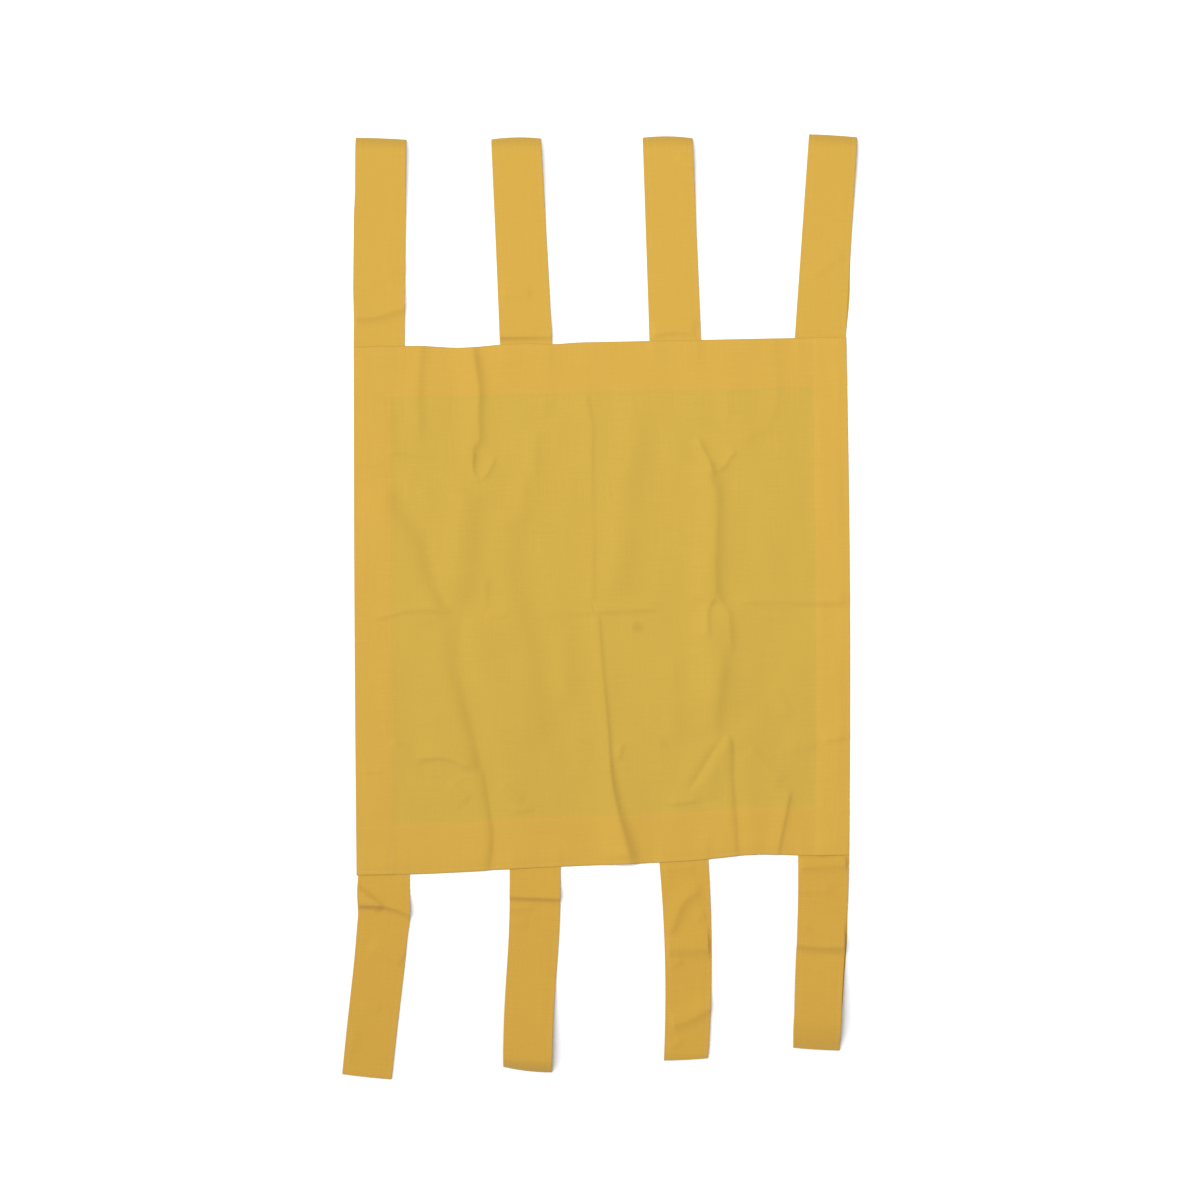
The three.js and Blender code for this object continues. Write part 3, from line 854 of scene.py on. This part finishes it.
def cotton(name, two_ply, one_ply=None, end_painted_shade=0.0):
    """Plain yellow cotton. Where one_ply is given, the middle of the panel is a single ply, whose
    colour is thinner and greener than that of the hems. The last argument is how much the cloth is
    darkened towards a loop's end: painted shade, where the fold curves down at the end."""
    graph = Graph(name)
    place = graph.node("ShaderNodeUVMap")
    place.uv_map = "flat"
    split = graph.node("ShaderNodeSeparateXYZ", Vector=place.outputs[0])
    u, v = split.outputs[0], split.outputs[1]
    height, slubs = weave(graph, u, v)
    patches = graph.noise(graph.vector(u, v), 14.0, 3.0)
    specks = graph.noise(graph.vector(u, v, 3.0), 420.0, 2.0)
    colour = two_ply
    if one_ply:
        soft = 0.6 * MM
        left = graph.ramp(u, -HALF_WIDTH + LEFT_HEM - soft, -HALF_WIDTH + LEFT_HEM + soft)
        right = graph.ramp(u, HALF_WIDTH - RIGHT_HEM - soft, HALF_WIDTH - RIGHT_HEM + soft, 1.0, 0.0)
        inner = HALF_HEIGHT - FACING_DEPTH
        ends = graph.ramp(graph.math("ABSOLUTE", v), inner - soft, inner + soft, 1.0, 0.0)
        single = graph.math("MULTIPLY", graph.math("MULTIPLY", left, right), ends)
        single = graph.math("MULTIPLY", single, graph.ramp(patches, 0.1, 0.6, 0.75, 1.0))
        hem = graph.scaled(two_ply, graph.ramp(right, 0.0, 1.0, RIGHT_HEM_TONE, 1.0))
        colour = graph.mix(single, hem, one_ply)
        for x, y, radius, darkest in MARKS:
            away = graph.distance(graph.vector(u, v), (x * MM, y * MM, 0))
            mark = graph.ramp(away, 0.3 * radius * MM, 1.3 * radius * MM, darkest, 1.0)
            colour = graph.scaled(colour, mark)
    tone = graph.math("MULTIPLY_ADD", slubs, 0.10, 0.90)
    # Painted shade: the cloth darkens within 16 mm of a loop's end fold, where the fold curves down
    if end_painted_shade:
        end = graph.ramp(graph.math("ABSOLUTE", v), 3 * MM, 16 * MM, 1 - end_painted_shade, 1.0)
        tone = graph.math("MULTIPLY", tone, end)
    tone = graph.math("MULTIPLY_ADD", patches, 0.05, graph.math("SUBTRACT", tone, 0.025))
    tone = graph.math("MULTIPLY_ADD", specks, 0.06, graph.math("SUBTRACT", tone, 0.03))
    graph.feed(graph.shader.inputs["Base Color"], graph.scaled(colour, tone))
    graph.feed(graph.shader.inputs["Roughness"], graph.math("MULTIPLY_ADD", slubs, 0.12, 0.78))
    graph.shader.inputs["Sheen Weight"].default_value = 0.12
    graph.shader.inputs["Sheen Roughness"].default_value = 0.6
    graph.shader.inputs["Specular IOR Level"].default_value = 0.2
    relief = graph.node("ShaderNodeBump", Height=height, Strength=0.5, Distance=0.08 * MM)
    graph.feed(graph.shader.inputs["Normal"], relief.outputs[0])
    return graph.material


def sewing_thread(name, colour):
    """Twisted thread: fine slanting strands along each stitch."""
    graph = Graph(name)
    place = graph.node("ShaderNodeUVMap")
    place.uv_map = "flat"
    split = graph.node("ShaderNodeSeparateXYZ", Vector=place.outputs[0])
    slant = graph.math("ADD", graph.math("MULTIPLY", split.outputs[1], 9000.0), split.outputs[0])
    strands = graph.math("SINE", slant)
    fuzz = graph.noise(graph.vector(split.outputs[0], split.outputs[1]), 900.0)
    tone = graph.math("MULTIPLY_ADD", strands, 0.06, graph.math("MULTIPLY_ADD", fuzz, 0.2, 0.9))
    graph.feed(graph.shader.inputs["Base Color"], graph.scaled(colour, tone))
    graph.feed(graph.shader.inputs["Roughness"], graph.math("MULTIPLY_ADD", fuzz, 0.2, 0.5))
    graph.shader.inputs["Sheen Weight"].default_value = 0.2
    relief = graph.node("ShaderNodeBump", Height=strands, Strength=0.4, Distance=0.05 * MM)
    graph.feed(graph.shader.inputs["Normal"], relief.outputs[0])
    return graph.material


def floor_material():
    graph = Graph("pale_floor")
    place = graph.node("ShaderNodeTexCoord").outputs["Object"]
    grain = graph.noise(place, 60.0, 3.0)
    tone = graph.math("MULTIPLY_ADD", grain, 0.01, 0.985)
    graph.feed(graph.shader.inputs["Base Color"], graph.scaled((0.93, 0.93, 0.93), tone))
    graph.shader.inputs["Roughness"].default_value = 0.9
    graph.shader.inputs["Specular IOR Level"].default_value = 0.1
    return graph.material


# ---------------------------------------------------------------- camera, light and floor
def make_camera():
    """Straight above, upright, with a frame 1.2 m wide on the floor."""
    data = bpy.data.cameras.new("camera")
    data.sensor_width = 36
    data.lens = 100
    camera = bpy.data.objects.new("camera", data)
    centre_x, centre_y, frame_width = 1 * MM, 5.5 * MM, 1200 * MM
    camera.location = (centre_x, centre_y, frame_width * data.lens / data.sensor_width)
    bpy.context.scene.collection.objects.link(camera)
    bpy.context.scene.camera = camera


def make_light(name, kind, place, aim, size, power):
    """A light at a place, turned to shine at its aim. size is a width, or an angle for a far one."""
    data = bpy.data.lights.new(name, kind)
    if kind == "SUN":
        data.angle = size
    else:
        data.size = size
    data.energy = power
    light = bpy.data.objects.new(name, data)
    light.location = place
    light.rotation_euler = (Vector(aim) - Vector(place)).to_track_quat("-Z", "Y").to_euler()
    bpy.context.scene.collection.objects.link(light)


def make_stage():
    """A pale floor, a white sky, a soft sun from the left and a softbox above the top loops."""
    bpy.ops.mesh.primitive_plane_add(size=14)
    floor = bpy.context.object
    floor.name = "floor"
    floor.data.materials.append(floor_material())
    world = bpy.data.worlds.new("studio")
    world.use_nodes = True
    background = world.node_tree.nodes["Background"]
    background.inputs["Color"].default_value = (1, 1, 1, 1)
    background.inputs["Strength"].default_value = 0.318
    bpy.context.scene.world = world
    make_light("far_key", "SUN", (-0.5, 0.05, 1), (0, 0, 0), math.radians(50), 2.18)
    make_light("softbox", "AREA", (0, 0.45, 1.55), (0, 0.45, 0), 0.75, 11.15)
    bpy.context.scene.view_settings.view_transform = "Standard"
    return floor


# ---------------------------------------------------------------- the object
def settle(piece, slot, *nodes):
    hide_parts(*nodes)


make_camera()
floor = make_stage()
panel_cotton = cotton("panel_cotton", (0.529, 0.318, 0.0466), (0.4965, 0.3225, 0.0468))
facing_cotton = cotton("facing_cotton", (0.525, 0.3195, 0.0466))
loop_cotton = {  # the bottom loops' cloth is a shade warmer
    # the top loops' ends get painted shade near their folds
    1: cotton("top_loop_cotton", (0.525, 0.317, 0.0455), end_painted_shade=0.085),
    -1: cotton("bottom_loop_cotton", (0.524, 0.304, 0.0415)),
}
thread = sewing_thread("thread", (0.6, 0.385, 0.075))

panel = make_panel(panel_cotton)
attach(panel, "panel")
settle(panel, "panel_cotton", "panel_cloth")
for edge, side in (("top", 1), ("bottom", -1)):
    facing = make_facing(edge + "_facing_strip", side, facing_cotton)
    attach(facing, "panel")
    settle(facing, "panel_cotton", edge + "_facing")

side_rows = {
    "left_hem": -HALF_WIDTH + LEFT_HEM - HEM_ROW,
    "right_hem": HALF_WIDTH - RIGHT_HEM + HEM_ROW,
    "left_edge": -HALF_WIDTH + EDGE_ROW,
    "right_edge": HALF_WIDTH - EDGE_ROW,
}
cross_rows = {
    "top_facing": HALF_HEIGHT - FACING_DEPTH + HEM_ROW,
    "bottom_facing": -HALF_HEIGHT + FACING_DEPTH - HEM_ROW,
    "top_edge": HALF_HEIGHT - SEAM_ROW,
    "bottom_edge": -HALF_HEIGHT + SEAM_ROW,
}
ROW_END = 1 * MM  # a row of stitches stops this far inside the panel's edges
side_end, cross_end = HALF_HEIGHT - ROW_END, HALF_WIDTH - ROW_END
face_rows = {name: ((x, -side_end), (x, side_end)) for name, x in side_rows.items()}
face_rows.update({name: ((-cross_end, y), (cross_end, y)) for name, y in cross_rows.items()})
for name, (start, end) in face_rows.items():
    row = face_row(name + "_stitches", start, end, thread)
    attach(row, "panel")
    settle(row, "thread", name + "_stitching")

BEND_LENGTH = 12 * MM  # a length along a loop from its seam; the start and end points below are made from it but not used
row_place = 1 - LOOP_ROW / (LOOP_WIDTH / 2)
for loop in LOOPS:
    name = loop["name"]
    start = (loop["root"][0], loop["root"][1], 0)
    end = (start[0], start[1] + loop["side"] * BEND_LENGTH, 0)
    strip = make_loop(loop, loop_cotton[loop["side"]])
    settle(strip, "loop_cotton", name, name + "_tail")
    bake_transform(strip)
    for side_name, place in (("left", -row_place), ("right", row_place)):
        row = loop_row(f"{name}_{side_name}_stitches", loop, place, thread)
        settle(row, "thread", f"{name}_{side_name}_stitching")
        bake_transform(row)
